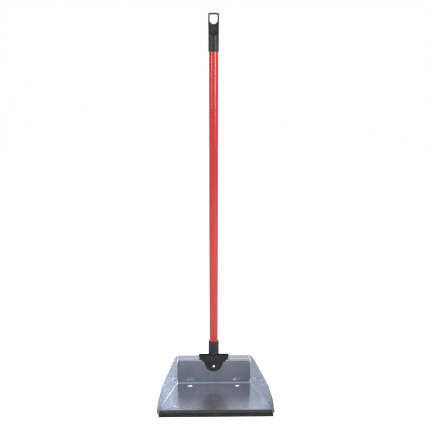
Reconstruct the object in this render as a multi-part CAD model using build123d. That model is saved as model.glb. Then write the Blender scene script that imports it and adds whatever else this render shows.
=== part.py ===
"""Long-handled dustpan: a folded galvanised pan with a rubber lip and an upright tube handle.

Millimetres. +Z is up and the mouth of the pan faces -Y. Everything is drawn about the pan's
back fold (y = 0 on the inner face of the back wall, z = 0 on the top of the pan floor), and is
moved at the end so that the origin is the bottom centre of the whole object.
"""
import os
from math import atan, atan2, cos, degrees, radians, sin, sqrt, tan

from build123d import *

os.makedirs("parts", exist_ok=True)

# Pan: one folded sheet
SHEET = 0.7               # sheet thickness
FLOOR_DEPTH = 229.0       # back fold to the front edge of the sheet
BACK_WIDTH = 183.4        # inside, at the back fold
FRONT_WIDTH = 268.6       # inside, at the front edge of the sheet
FOLD_RADIUS = 2.4         # inner radius of the folds round the floor
WALL_HEIGHT = 59.0        # floor to the bend of the back wall's top band
BAND_WIDTH = 14.6         # the band that leans back above the bend
BAND_LEAN = 45.0          # degrees from upright
HEM_WIDTH = 5.5           # folded over the front of the band's free edge
SIDE_PEAK_RISE = 3.3      # highest point of a side wall above the top of the band
SIDE_PEAK_AT = 22.0       # distance of that point from the back fold
SIDE_SHOULDER_DROP = 0.9  # the top edge turns straight this far below the top of the band
SIDE_SHOULDER_AT = 59.0   # and this far from the back fold
SIDE_NOSE_HEIGHT = 46.5   # height where the straight stretch ends and the nose begins
SIDE_NOSE_RUN = 57.9      # length of the nose, back from the front edge
SIDE_NOSE_BULGE = 9.0     # how far the rounded front corner stands out from its chord
FLAP_LENGTH = 20.0        # the back wall's end flaps, lapped on the outside of the sides
FLAP_HEIGHTS = (7.0, 52.0)
FLAP_CORNER = 5.0         # cut off each free corner of a flap
SEAM_GAP = 0.4            # between sheet edges that meet at a corner

# Feet pressed down out of the floor near the back fold
FOOT_DEPTH = 3.0
FOOT_RADIUS = 13.0        # of the pressed sphere, inside
FOOT_X = 59.0
FOOT_Y = -28.5

# Rubber lip on the floor's front edge
LIP_LENGTH = 260.0
LIP_TOP_LEAF = 19.0       # how far the top leaf reaches back over the sheet
LIP_LOWER_LEAF = 15.0
LIP_LEAF = 1.7            # thickness of the top leaf
LIP_NOSE = 15.0           # how far the nose stands in front of the sheet
LIP_RAMP = 12.2           # run of the sloping front face
LIP_TIP = 2.0             # height of the blunt front edge
LIP_GROOVE = (1.6, 1.0)   # width and depth of the groove between the ramp and the top leaf
LIP_CLEARANCE = 0.02

# Handle axis, from the point where it meets the top of the bracket
HANDLE_LEAN = 4.5         # degrees, towards the mouth
AXIS_Y = 9.3

# Socket bracket
BRACKET_RISE = 13.0       # top of the bracket above the bend of the back wall
SHIELD_THICKNESS = 4.0
SHIELD_EDGE = 0.6         # height and angle of the slope round its front
SHIELD_TAPER = 40.0
CHEEK_THICKNESS = 3.6
WING_RADIUS = 26.6
WING_CENTRE_X = 11.8
WING_CENTRE_RISE = 6.0    # above the top of the bracket
TONGUE_RADIUS = 22.5
TONGUE_CENTRE_DROP = 18.4 # below the top of the bracket
SHIELD_NOTCH = 1.5        # inside corner between a wing and the tongue
BLOCK_BACK = 9.5          # how far back the block above the wall reaches
NOTCH_HALF_WIDTH = 27.0   # opening in the band that the block fills
NOTCH_CLEARANCE = 0.4
SLOT_CLEARANCE = 0.1      # bracket to sheet
SOCKET_WALL = 2.25
SOCKET_RISE = 36.0        # rim above the top of the bracket, along the handle
SOCKET_FLOOR = 2.5
SOCKET_RIM = 0.9          # rounding of its rim
LEAD_IN = 1.2             # cone in the mouth of the bore
BORE_DEPTH = 44.5
TUBE_CLEARANCE = 0.05     # radial, tube in socket
FLUTES = 28
FLUTE_RADIUS = 0.9
FLUTE_DEPTH = 0.35
FLUTE_ENDS = 2.5          # plain stretch left at each end of the flutes
RIM_WIDTH = 2.0           # raised edge round the front face
FACE_RECESS = 0.9
FACE_SETBACK = 0.25       # ribs and rivet seat, behind the rim's face
RIB_WIDTH = 1.3
FACE_RIBS = (-5.6, -2.8, 0, 2.8, 5.6)
WING_RIBS = (11.0, 18.0, 25.0)
WING_RIB_SLANT = 32.0
RIVET_BOSS = 1.6          # width of the seat round the rivet's head
POCKET_DEPTH = 7.0        # hollows in the top of the bracket
POCKET_WALL = 2.2
CREST_RISE = 4.0          # wall that stands above the ledge at the top of the shield
CREST_SETBACK = 1.6       # behind the shield's face
CREST_ROOT = 1.0          # reaches down into the shield
CREST_CORNER = 1.6
GUSSET_THICKNESS = 2.4
GUSSETS = ((-10.0, 24.0), (0.0, 13.5), (10.0, 24.0))    # place across and drop of each

# Rivet and its washer
RIVET_DROP = 28.7         # below the top of the bracket
RIVET_SHANK = 2.0         # radius
RIVET_HEAD = 3.6          # radius
RIVET_HEAD_HEIGHT = 1.7
RIVET_TAIL_HEIGHT = 1.3
RIVET_CLEARANCE = 0.03
WASHER_RADIUS = 5.0
WASHER_THICKNESS = 0.8

# Handle tube, its foot plug and the hanging cap
TUBE_RADIUS = 11.0
TUBE_WALL = 0.6
TUBE_LENGTH = 792.0
PLUG_LENGTH = 20.0
PLUG_FLANGE = 2.0
PLUG_FLANGE_INSET = 0.1   # flange's edge inside the tube's outer face
PLUG_CLEARANCE = 0.03
PLUG_WALL = 1.8
PLUG_LEAD = 1.0
CAP_LENGTH = 89.8
CAP_WALL = 1.42           # of the round sleeve
CAP_HEAD_FLARE = 0.45     # the hanging loop is this much wider on each side than the sleeve
CAP_HEAD_DEPTH = 7.6      # half the thickness of the hanging loop, front to back
CAP_SLEEVE_DEPTH = 33.5   # how far the tube goes in
CAP_TAPER = (35.0, 66.0)  # where the round sleeve starts and stops flattening
CAP_CLEARANCE = 0.03
CAP_TOP_CORNER = 3.0      # rounding of the loop's outline, seen from the front
CAP_TOP_EDGE = 2.0        # and seen from the side
CAP_FOOT_EDGE = 0.3       # rounding of the sleeve's lower end
CAP_TOP_ARCH = 0.8
LOOP_SIDE = 3.4           # width of the loop beside its hole
LOOP_HEIGHTS = (63.8, 86.0)
LOOP_TOP_CORNER = 2.6
THUMB_SIDE = 3.2          # left standing beside the thumb hollow
THUMB_BOTTOM = 36.2
THUMB_RIM = 1.6           # left standing between the thumb hollow and the loop's hole
THUMB_WEB = (3.4, 6.4)    # half the thickness left at the hollow's bottom and top
RING_HEIGHTS = (3.0, 9.6, 16.2, 22.8)
RING_SIZE = 0.35
CAP_DIMPLE_HEIGHT = 30.9
CAP_DIMPLE_RADIUS = 1.7
CAP_DIMPLE_OUT = 0.4      # its centre stands this far outside the sleeve

# Worked out from the sizes above
BRACKET_TOP = WALL_HEIGHT + BRACKET_RISE
WING_CENTRE = (WING_CENTRE_X, BRACKET_TOP + WING_CENTRE_RISE)
TONGUE_CENTRE_Z = BRACKET_TOP - TONGUE_CENTRE_DROP
RIVET_Z = BRACKET_TOP - RIVET_DROP
SOCKET_RADIUS = TUBE_RADIUS + TUBE_CLEARANCE + SOCKET_WALL
CAP_RADIUS = TUBE_RADIUS + CAP_CLEARANCE + CAP_WALL
CAP_HEAD_RADIUS = CAP_RADIUS + CAP_HEAD_FLARE
LOOP_HALF_WIDTH = CAP_HEAD_RADIUS - LOOP_SIDE
THUMB_HALF_WIDTH = CAP_HEAD_RADIUS - THUMB_SIDE
PLUG_FLANGE_RADIUS = TUBE_RADIUS - PLUG_FLANGE_INSET
GROUND = -(SHEET + FOOT_DEPTH)
SPLAY = degrees(atan((FRONT_WIDTH - BACK_WIDTH) / 2 / FLOOR_DEPTH))
SIDE_LENGTH = FLOOR_DEPTH / cos(radians(SPLAY))
NOTCH_FLOOR = WALL_HEIGHT - FOLD_RADIUS
BAND_START = WALL_HEIGHT - 3 * FOLD_RADIUS    # where the band's profile takes over from the wall
BAND_REACH = BAND_WIDTH * sin(radians(BAND_LEAN))
BAND_TOP = WALL_HEIGHT + BAND_WIDTH * cos(radians(BAND_LEAN))
HANDLE = Pos(0, AXIS_Y, BRACKET_TOP) * Rot(HANDLE_LEAN, 0, 0)
BORE_FLOOR = SOCKET_RISE - BORE_DEPTH
TUBE_START = BORE_FLOOR + PLUG_FLANGE
CAP_START = TUBE_START + TUBE_LENGTH - CAP_SLEEVE_DEPTH
TALL = 200.0              # longer than anything it cuts
OUTWARD = Vector(cos(radians(SPLAY)), sin(radians(SPLAY)), 0)    # from the right side wall


def block(x, y, z):
    """A box from its (low, high) limits on each axis."""
    return Pos((x[0] + x[1]) / 2, (y[0] + y[1]) / 2, (z[0] + z[1]) / 2) * Box(
        x[1] - x[0], y[1] - y[0], z[1] - z[0])


def along_x(outline, half_length):
    """Extrude an outline drawn as (y, z) points evenly to both sides of x = 0."""
    return extrude(Plane.YZ * outline, amount=half_length, both=True)


def along_y(outline, front, back):
    """Extrude an outline drawn as (x, z) points from y = back forward to y = front."""
    return extrude(Plane.XZ.offset(-back) * outline, amount=back - front, dir=(0, -1, 0))


def side_plane(offset=0.0):
    """The right side wall's plane, moved outward by offset: local x runs forward, local y up."""
    forward = Vector(sin(radians(SPLAY)), -cos(radians(SPLAY)), 0)
    origin = Vector(BACK_WIDTH / 2, 0, 0) + OUTWARD * offset
    return Plane(origin=origin, x_dir=forward, z_dir=-OUTWARD)


def off_side(outline, offset, thickness):
    """Plate drawn in the right side wall's plane, from offset outward."""
    return extrude(side_plane(offset) * outline, amount=thickness, dir=OUTWARD)


def tray(grow):
    """Solid block with the pan's inner shape, or with its outer shape where grow is the sheet."""
    flare = tan(radians(SPLAY))
    spread = grow / cos(radians(SPLAY))
    back = BACK_WIDTH / 2 + spread - grow * flare
    front = FRONT_WIDTH / 2 + spread
    footprint = make_face(Polyline((-back, grow), (back, grow), (front, -FLOOR_DEPTH),
                                   (-front, -FLOOR_DEPTH), close=True))
    solid = extrude(Pos(0, 0, -grow) * footprint, amount=TALL, dir=(0, 0, 1))
    low = solid.edges().group_by(Axis.Z)[0].sort_by(Axis.Y)
    return fillet(low[1:], FOLD_RADIUS + grow)


def side_outline():
    """Side wall and the ear that closes the band's end, in the side wall's plane."""
    stretch = 1 / cos(radians(SPLAY))
    ear_tip = (-BAND_REACH * stretch, BAND_TOP)
    peak = (SIDE_PEAK_AT, BAND_TOP + SIDE_PEAK_RISE)
    nose = (SIDE_LENGTH, -SHEET)
    start = (SIDE_SHOULDER_AT, BAND_TOP - SIDE_SHOULDER_DROP)
    end = (SIDE_LENGTH - SIDE_NOSE_RUN, SIDE_NOSE_HEIGHT)
    chord = (nose[0] - end[0], nose[1] - end[1])
    length = sqrt(chord[0] ** 2 + chord[1] ** 2)
    bulge = ((end[0] + nose[0]) / 2 - chord[1] / length * SIDE_NOSE_BULGE,
             (end[1] + nose[1]) / 2 + chord[0] / length * SIDE_NOSE_BULGE)
    return make_face([
        Polyline(nose, (0, -SHEET), (0, WALL_HEIGHT), ear_tip),
        ThreePointArc(ear_tip, peak, start),
        Line(start, end),
        ThreePointArc(end, bulge, nose),
    ])


def side_wall():
    """Right side wall above the floor's fold, with its ear behind the back wall."""
    wall = off_side(side_outline(), 0, SHEET)
    below_ear = block((0, TALL), (-SEAM_GAP, BAND_REACH * 2), (-SHEET * 2, WALL_HEIGHT - SEAM_GAP))
    fold = block((0, TALL), (-FLOOR_DEPTH * 2, TALL), (-TALL, FOLD_RADIUS + SHEET))
    return wall - below_ear - fold


def corner_flap():
    """End flap of the back wall, bent round the corner and lapped on the right side wall."""
    low, high = FLAP_HEIGHTS
    corner = FLAP_CORNER
    lap = make_face(Polyline((-SHEET, low), (FLAP_LENGTH - corner, low), (FLAP_LENGTH, low + corner),
                             (FLAP_LENGTH, high - corner), (FLAP_LENGTH - corner, high),
                             (-SHEET, high), close=True))
    flap = off_side(lap, SHEET, SHEET)
    reach = BACK_WIDTH / 2 + 2 * SHEET / cos(radians(SPLAY))
    wrap = block((BACK_WIDTH / 2 - 1, reach + SHEET), (0, SHEET), (low, high))
    outside = off_side(Rectangle(TALL, TALL), 2 * SHEET, TALL)
    return flap + (wrap - outside)


def band():
    """The back wall above its lower part, bent back and hemmed, as one profile along X."""
    lean = radians(BAND_LEAN)
    joint_z = BAND_START
    tip = (BAND_REACH, BAND_TOP)
    inner_z = WALL_HEIGHT - SHEET * tan(lean / 2)
    back_tip = (tip[0] + SHEET * cos(lean), tip[1] - SHEET * sin(lean))
    strip = make_face(Polyline((0, joint_z), (0, WALL_HEIGHT), tip, back_tip, (SHEET, inner_z),
                               (SHEET, joint_z), close=True))
    bend = strip.vertices().sort_by(lambda v: abs(v.X - SHEET / 2) + abs(v.Y - WALL_HEIGHT))[:2]
    front_vertex, back_vertex = sorted(bend, key=lambda v: v.X)
    strip = fillet(back_vertex, FOLD_RADIUS)
    front_vertex = strip.vertices().sort_by(lambda v: abs(v.X) + abs(v.Y - WALL_HEIGHT))[0]
    strip = fillet(front_vertex, FOLD_RADIUS + SHEET)
    hem = Pos(tip[0], tip[1]) * Rot(0, 0, 90 - BAND_LEAN) * Pos(-HEM_WIDTH / 2, SHEET / 2) * (
        RectangleRounded(HEM_WIDTH, SHEET, SHEET * 0.45))
    return along_x(strip + hem, BACK_WIDTH)


def beyond_side(offset):
    """Everything outside the right side wall's plane, moved outward by offset."""
    return off_side(Rectangle(6 * TALL, 6 * TALL), offset, 2 * TALL)


def foot():
    """Dish pressed down out of the floor: what is added to the sheet and what is hollow."""
    centre = Pos(FOOT_X, FOOT_Y, FOOT_RADIUS - FOOT_DEPTH)
    hollow = centre * Sphere(FOOT_RADIUS)
    below = block((-TALL, TALL), (-TALL, TALL), (-TALL, 0))
    return (centre * Sphere(FOOT_RADIUS + SHEET)) & below, hollow


def notch():
    """Opening in the back wall's top band that the bracket's block passes through."""
    return block((-NOTCH_HALF_WIDTH, NOTCH_HALF_WIDTH), (-TALL, TALL), (NOTCH_FLOOR, TALL))


def pan_sheet():
    folded = tray(SHEET) - tray(0)
    low_walls = folded - block((-TALL, TALL), (-TALL * 2, TALL), (BAND_START, TALL * 2))
    sides_off = block((-TALL, TALL), (-TALL * 2, -SEAM_GAP), (FOLD_RADIUS + SHEET, TALL * 2))
    base = low_walls - sides_off
    seam = block((BACK_WIDTH / 2 - 0.01, TALL), (-SEAM_GAP, 0), (FOLD_RADIUS + SHEET, TALL))
    base = base - seam - mirror(seam, Plane.YZ)
    outside = beyond_side(-SEAM_GAP)
    upper_wall = band() - outside - mirror(outside, Plane.YZ)
    sheet = base + upper_wall
    for piece in (side_wall(), corner_flap()):
        sheet = sheet + piece + mirror(piece, Plane.YZ)
    for side in (False, True):
        dish, hollow = foot()
        if side:
            dish, hollow = mirror(dish, Plane.YZ), mirror(hollow, Plane.YZ)
        sheet = sheet + dish - hollow
    sheet = sheet - notch()
    hole = Pos(0, 0, RIVET_Z) * Rot(90, 0, 0) * Cylinder(RIVET_SHANK + RIVET_CLEARANCE, TALL / 10)
    return sheet - hole


def rubber_lip():
    """Extruded strip that grips the front edge of the floor, with a ramp to the ground."""
    edge = -FLOOR_DEPTH
    nose = edge - LIP_NOSE
    gap = LIP_CLEARANCE
    feather = LIP_LEAF * 0.65
    brow, (groove, deep) = nose + LIP_RAMP, LIP_GROOVE
    profile = make_face(Polyline(
        (edge + LIP_TOP_LEAF, gap), (edge - gap, gap), (edge - gap, -SHEET - gap),
        (edge + LIP_LOWER_LEAF, -SHEET - gap), (edge + LIP_LOWER_LEAF, GROUND + feather),
        (edge + LIP_LOWER_LEAF - feather, GROUND), (nose, GROUND), (nose, GROUND + LIP_TIP),
        (brow, LIP_LEAF), (brow + groove / 2, LIP_LEAF - deep), (brow + groove, LIP_LEAF),
        (edge + LIP_TOP_LEAF - feather, LIP_LEAF),
        (edge + LIP_TOP_LEAF, LIP_LEAF - feather), close=True))
    tip = profile.vertices().sort_by(lambda v: abs(v.X - nose) + abs(v.Y - GROUND - LIP_TIP))[0]
    profile = fillet(tip, LIP_TIP * 0.3)
    fold = beyond_side(-FOLD_RADIUS - gap) & block((0, TALL), (edge - gap, TALL), (0, TALL))
    return along_x(profile, LIP_LENGTH / 2) - fold - mirror(fold, Plane.YZ)


def circles_meet(first, second):
    """The lower right meeting point of two circles given as (x, z, radius)."""
    dx, dz = second[0] - first[0], second[1] - first[1]
    apart = sqrt(dx ** 2 + dz ** 2)
    along = (first[2] ** 2 - second[2] ** 2 + apart ** 2) / (2 * apart)
    across = sqrt(first[2] ** 2 - along ** 2)
    return (first[0] + (along * dx + across * dz) / apart,
            first[1] + (along * dz - across * dx) / apart)


def shield_outline(inset=0.0):
    """Front of the bracket: two round wings and a round tongue, cut straight at the top."""
    x, z = WING_CENTRE
    wing, tongue, top = WING_RADIUS - inset, TONGUE_RADIUS - inset, BRACKET_TOP - inset
    corner = (x + sqrt(wing ** 2 - (z - top) ** 2), top)
    notch_x, notch_z = circles_meet((0, TONGUE_CENTRE_Z, tongue), (x, z, wing))
    angle = (atan2(top - z, corner[0] - x) + atan2(notch_z - z, notch_x - x)) / 2
    side_x, side_z = x + wing * cos(angle), z + wing * sin(angle)
    outline = make_face([
        Line((-corner[0], top), corner),
        ThreePointArc(corner, (side_x, side_z), (notch_x, notch_z)),
        ThreePointArc((notch_x, notch_z), (0, TONGUE_CENTRE_Z - tongue), (-notch_x, notch_z)),
        ThreePointArc((-notch_x, notch_z), (-side_x, side_z), (-corner[0], top)),
    ])
    return fillet(outline.vertices().sort_by(Axis.Y)[:2], SHIELD_NOTCH)


def bracket_body():
    """Shield, rear cheek and the block through the notch that joins them."""
    edge = -SHIELD_THICKNESS + SHIELD_EDGE
    shield = along_y(shield_outline(), edge, -SLOT_CLEARANCE)
    shield = shield + extrude(Plane.XZ.offset(-edge) * shield_outline(), amount=SHIELD_EDGE,
                              dir=(0, -1, 0), taper=SHIELD_TAPER)
    inside = NOTCH_HALF_WIDTH - NOTCH_CLEARANCE
    upper = block((-inside, inside), (-SHIELD_THICKNESS / 2, BLOCK_BACK),
                  (NOTCH_FLOOR + NOTCH_CLEARANCE, BRACKET_TOP))
    cheek_front = SHEET + SLOT_CLEARANCE
    cheek_outline = Pos(0, TONGUE_CENTRE_Z) * Circle(TONGUE_RADIUS - 2)
    cheek_top = NOTCH_FLOOR + POCKET_WALL * 2
    cheek_outline = cheek_outline & Pos(0, cheek_top - TALL / 2) * Rectangle(TALL, TALL)
    cheek = along_y(cheek_outline, cheek_front, cheek_front + CHEEK_THICKNESS)
    return shield + upper + cheek


def top_pockets():
    """Two hollows in the top of the block, one each side of the socket."""
    reach = NOTCH_HALF_WIDTH - NOTCH_CLEARANCE - POCKET_WALL
    pocket = block((-reach, reach), (-SLOT_CLEARANCE, BLOCK_BACK - POCKET_WALL),
                   (BRACKET_TOP - POCKET_DEPTH, TALL))
    return pocket - HANDLE * Cylinder(SOCKET_RADIUS + 0.2, TALL)


def crest():
    """Wall above the shield's ledge, set back from its face, with rounded ends."""
    x, z = WING_CENTRE
    tip = x + sqrt(WING_RADIUS ** 2 - (z - BRACKET_TOP) ** 2)
    outline = Pos(0, BRACKET_TOP + (CREST_RISE - CREST_ROOT) / 2) * Rectangle(
        2 * tip, CREST_RISE + CREST_ROOT)
    outline = fillet(outline.vertices().group_by(Axis.Y)[-1], CREST_CORNER)
    return along_y(outline, -SHIELD_THICKNESS + CREST_SETBACK, -SLOT_CLEARANCE)


def face_panel():
    """Shallow recess in the front face inside its raised rim."""
    outline = shield_outline(RIM_WIDTH)
    return along_y(outline, -SHIELD_THICKNESS - 1, -SHIELD_THICKNESS + FACE_RECESS)


def face_ribs():
    """Upright ribs below the socket, slanting ribs on the wings and a boss round the rivet."""
    front, back = -SHIELD_THICKNESS, -SHIELD_THICKNESS + FACE_RECESS + 0.3
    low = RIVET_Z + RIVET_HEAD + 2 * RIVET_BOSS
    ribs = None
    for x in FACE_RIBS:
        rib = block((x - RIB_WIDTH / 2, x + RIB_WIDTH / 2), (front, back), (low, BRACKET_TOP - 1))
        ribs = rib if ribs is None else ribs + rib
    for reach in WING_RIBS:
        slant = Pos(reach, 0, WALL_HEIGHT) * Rot(0, WING_RIB_SLANT, 0) * Box(
            RIB_WIDTH, 2 * (back - front), TALL)
        ribs = ribs + slant + mirror(slant, Plane.YZ)
    boss = Pos(0, 0, RIVET_Z) * Rot(90, 0, 0) * Cylinder(
        RIVET_HEAD + RIVET_BOSS, 2 * SHIELD_THICKNESS)
    limits = along_y(shield_outline(RIM_WIDTH - 0.2), front + FACE_SETBACK, back)
    return (ribs + boss) & limits


def flutes():
    """Fine upright grooves round the outside of the socket."""
    low, high = FLUTE_ENDS, SOCKET_RISE - FLUTE_ENDS
    groove = Pos(SOCKET_RADIUS + FLUTE_RADIUS - FLUTE_DEPTH, 0, (low + high) / 2) * Cylinder(
        FLUTE_RADIUS, high - low)
    return [Rot(0, 0, 360 * (i + 0.5) / FLUTES) * groove for i in range(FLUTES)]


def socket_barrel():
    low = BORE_FLOOR - SOCKET_FLOOR
    barrel = Pos(0, 0, (low + SOCKET_RISE) / 2) * Cylinder(SOCKET_RADIUS, SOCKET_RISE - low)
    barrel = fillet(barrel.edges().group_by(Axis.Z)[-1], SOCKET_RIM)
    return barrel - flutes()


def gussets():
    """Upright webs behind the wall that carry the back of the socket."""
    start = SHEET + SLOT_CLEARANCE + CHEEK_THICKNESS - 0.5
    top = BRACKET_TOP + BORE_FLOOR
    ribs = None
    for x, drop in GUSSETS:
        web = make_face(Polyline((start, top), (AXIS_Y + SOCKET_RADIUS * 0.8, top),
                                 (start, top - drop), close=True))
        rib = Pos(x, 0, 0) * along_x(web, GUSSET_THICKNESS / 2)
        ribs = rib if ribs is None else ribs + rib
    return ribs


def socket_bracket():
    body = bracket_body() + crest() - top_pockets()
    body = body - face_panel() + face_ribs() + gussets()
    body = body + HANDLE * socket_barrel()
    bore = Pos(0, 0, BORE_FLOOR + TALL / 2) * Cylinder(TUBE_RADIUS + TUBE_CLEARANCE, TALL)
    lead_in = Pos(0, 0, SOCKET_RISE) * Cone(TUBE_RADIUS, TUBE_RADIUS + LEAD_IN, LEAD_IN)
    body = body - HANDLE * bore - HANDLE * lead_in
    hole = Pos(0, 0, RIVET_Z) * Rot(90, 0, 0) * Cylinder(RIVET_SHANK + RIVET_CLEARANCE, TALL / 4)
    return body - hole


def bracket_rivet():
    """Round-headed rivet through shield, wall, cheek and washer."""
    back = SHEET + SLOT_CLEARANCE + CHEEK_THICKNESS + WASHER_THICKNESS
    front = -SHIELD_THICKNESS + FACE_SETBACK
    head = make_face([
        Polyline((RIVET_HEAD, 0), (0, 0), (0, RIVET_HEAD_HEIGHT)),
        ThreePointArc((0, RIVET_HEAD_HEIGHT), (RIVET_HEAD * 0.62, RIVET_HEAD_HEIGHT * 0.78),
                      (RIVET_HEAD, 0)),
    ])
    head = revolve(Plane.XZ * head, Axis.Z)
    shank = Pos(0, 0, -(back - front) / 2) * Cylinder(RIVET_SHANK, back - front)
    tail = Pos(0, 0, -(back - front) - RIVET_TAIL_HEIGHT / 2) * Cylinder(
        RIVET_HEAD * 0.85, RIVET_TAIL_HEIGHT)
    tail = fillet(tail.edges().group_by(Axis.Z)[0], RIVET_TAIL_HEIGHT * 0.6)
    return Pos(0, front, RIVET_Z) * Rot(90, 0, 0) * (head + shank + tail)


def rivet_washer():
    back = SHEET + SLOT_CLEARANCE + CHEEK_THICKNESS
    ring = Cylinder(WASHER_RADIUS, WASHER_THICKNESS) - Cylinder(
        RIVET_SHANK + RIVET_CLEARANCE, WASHER_THICKNESS)
    return Pos(0, back + WASHER_THICKNESS / 2, RIVET_Z) * Rot(90, 0, 0) * ring


def handle_tube():
    tube = Cylinder(TUBE_RADIUS, TUBE_LENGTH) - Cylinder(TUBE_RADIUS - TUBE_WALL, TUBE_LENGTH)
    return HANDLE * Pos(0, 0, TUBE_START + TUBE_LENGTH / 2) * tube


def tube_foot_plug():
    """Plug pressed into the tube's lower end, whose flange rests on the floor of the socket."""
    radius = TUBE_RADIUS - TUBE_WALL - PLUG_CLEARANCE
    plug = Pos(0, 0, PLUG_LENGTH / 2) * Cylinder(radius, PLUG_LENGTH)
    plug = chamfer(plug.edges().group_by(Axis.Z)[-1], PLUG_LEAD)
    hollow = Pos(0, 0, PLUG_LENGTH / 2 + PLUG_WALL) * Cylinder(radius - PLUG_WALL, PLUG_LENGTH)
    flange = Pos(0, 0, -PLUG_FLANGE / 2) * Cylinder(PLUG_FLANGE_RADIUS, PLUG_FLANGE)
    return HANDLE * Pos(0, 0, TUBE_START) * (plug - hollow + flange)


def cap_side_profile():
    """Half thickness of the cap against height: round sleeve, taper, flat loop."""
    low, high = CAP_TAPER
    wide = CAP_HEAD_RADIUS + 1
    points = [(-wide, 0), (wide, 0), (wide, low), (CAP_HEAD_DEPTH, high),
              (CAP_HEAD_DEPTH, CAP_LENGTH), (-CAP_HEAD_DEPTH, CAP_LENGTH),
              (-CAP_HEAD_DEPTH, high), (-wide, low)]
    outline = make_face(Polyline(*points, close=True))
    top = outline.vertices().group_by(Axis.Y)[-1]
    return fillet(top, CAP_TOP_EDGE)


def cap_front_profile():
    """Front outline of the cap, with rounded top corners and a slightly arched top."""
    wide = CAP_HEAD_RADIUS
    shoulder = CAP_LENGTH - CAP_TOP_ARCH
    outline = make_face([
        Polyline((wide, shoulder), (wide, 0), (-wide, 0), (-wide, shoulder)),
        ThreePointArc((-wide, shoulder), (0, CAP_LENGTH), (wide, shoulder)),
    ])
    top = outline.vertices().group_by(Axis.Y)[-1]
    return fillet(top, CAP_TOP_CORNER)


def cap_blank():
    """Outside of the cap: sleeve with rings, flattened into the loop."""
    low, high = CAP_TAPER
    sleeve = Pos(0, 0, low / 2) * Cylinder(CAP_RADIUS, low)
    sleeve = fillet(sleeve.edges().group_by(Axis.Z)[0], CAP_FOOT_EDGE)
    neck = Pos(0, 0, (low + high) / 2) * Cone(CAP_RADIUS, CAP_HEAD_RADIUS, high - low)
    head = Pos(0, 0, (high + CAP_LENGTH) / 2) * Cylinder(CAP_HEAD_RADIUS, CAP_LENGTH - high)
    blank = sleeve + neck + head
    blank = blank & along_x(cap_side_profile(), TALL)
    blank = blank & along_y(cap_front_profile(), -TALL, TALL)
    for height in RING_HEIGHTS:
        blank = blank + Pos(0, 0, height) * Torus(CAP_RADIUS - RING_SIZE, 2 * RING_SIZE)
    return blank


def loop_hole():
    """Hole for a hook: round at the bottom, with rounded corners at the top."""
    low, high = LOOP_HEIGHTS
    centre = low + LOOP_HALF_WIDTH
    wide = LOOP_HALF_WIDTH
    outline = make_face([
        Polyline((wide, centre), (wide, high), (-wide, high), (-wide, centre)),
        ThreePointArc((-wide, centre), (0, low), (wide, centre)),
    ])
    top = outline.vertices().group_by(Axis.Y)[-1]
    return along_y(fillet(top, LOOP_TOP_CORNER), -TALL, TALL)


def thumb_hollow():
    """Hollow in the front of the cap below the loop, deepest at its round lower end."""
    wide = THUMB_HALF_WIDTH
    low = THUMB_BOTTOM + wide
    hole_centre = LOOP_HEIGHTS[0] + LOOP_HALF_WIDTH
    outline = Pos(0, low) * Circle(wide) + Pos(0, (low + hole_centre) / 2) * Rectangle(
        2 * wide, hole_centre - low)
    outline = outline - Pos(0, hole_centre) * Circle(LOOP_HALF_WIDTH + THUMB_RIM)
    outline = outline.faces().sort_by(SortBy.AREA)[-1]
    cut = along_y(outline, -TALL, 0)
    slope = (THUMB_WEB[1] - THUMB_WEB[0]) / (LOOP_HEIGHTS[0] - THUMB_BOTTOM)
    rise = slope * TALL
    web = make_face(Polyline((TALL, THUMB_BOTTOM - TALL), (-THUMB_WEB[0] + rise, THUMB_BOTTOM - TALL),
                             (-THUMB_WEB[0] - rise, THUMB_BOTTOM + TALL),
                             (TALL, THUMB_BOTTOM + TALL), close=True))
    return cut - along_x(web, TALL)


def hanging_cap():
    cap = cap_blank() - loop_hole()
    hollow = thumb_hollow()
    cap = cap - hollow - mirror(hollow, Plane.XZ)
    bore = Pos(0, 0, CAP_SLEEVE_DEPTH / 2) * Cylinder(TUBE_RADIUS + CAP_CLEARANCE, CAP_SLEEVE_DEPTH)
    dimple = Pos(0, -CAP_RADIUS - CAP_DIMPLE_OUT, CAP_DIMPLE_HEIGHT) * Sphere(CAP_DIMPLE_RADIUS)
    cap = cap - bore - dimple
    return HANDLE * Pos(0, 0, CAP_START) * cap


def placement():
    """Move from the back fold to the bottom centre of the whole object."""
    front = -FLOOR_DEPTH - LIP_NOSE
    lean = radians(HANDLE_LEAN)
    low = BORE_FLOOR - SOCKET_FLOOR
    back = AXIS_Y + SOCKET_RADIUS * cos(lean) - low * sin(lean)
    return Pos(0, -(front + back) / 2, -GROUND)


NODES = {
    "pan_sheet": pan_sheet,
    "rubber_lip": rubber_lip,
    "socket_bracket": socket_bracket,
    "bracket_rivet": bracket_rivet,
    "rivet_washer": rivet_washer,
    "handle_tube": handle_tube,
    "tube_foot_plug": tube_foot_plug,
    "hanging_cap": hanging_cap,
}

for name, make in NODES.items():
    solid = placement() * make()
    solid.label = name
    export_step(solid, f"parts/{name}.step")
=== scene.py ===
"""Looks of the long-handled dustpan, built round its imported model. Metres, +Z up, mouth at -Y."""
from math import atan, cos, degrees, exp, log, radians, sin, tan

import bmesh
import bpy
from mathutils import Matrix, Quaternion, Vector


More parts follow.
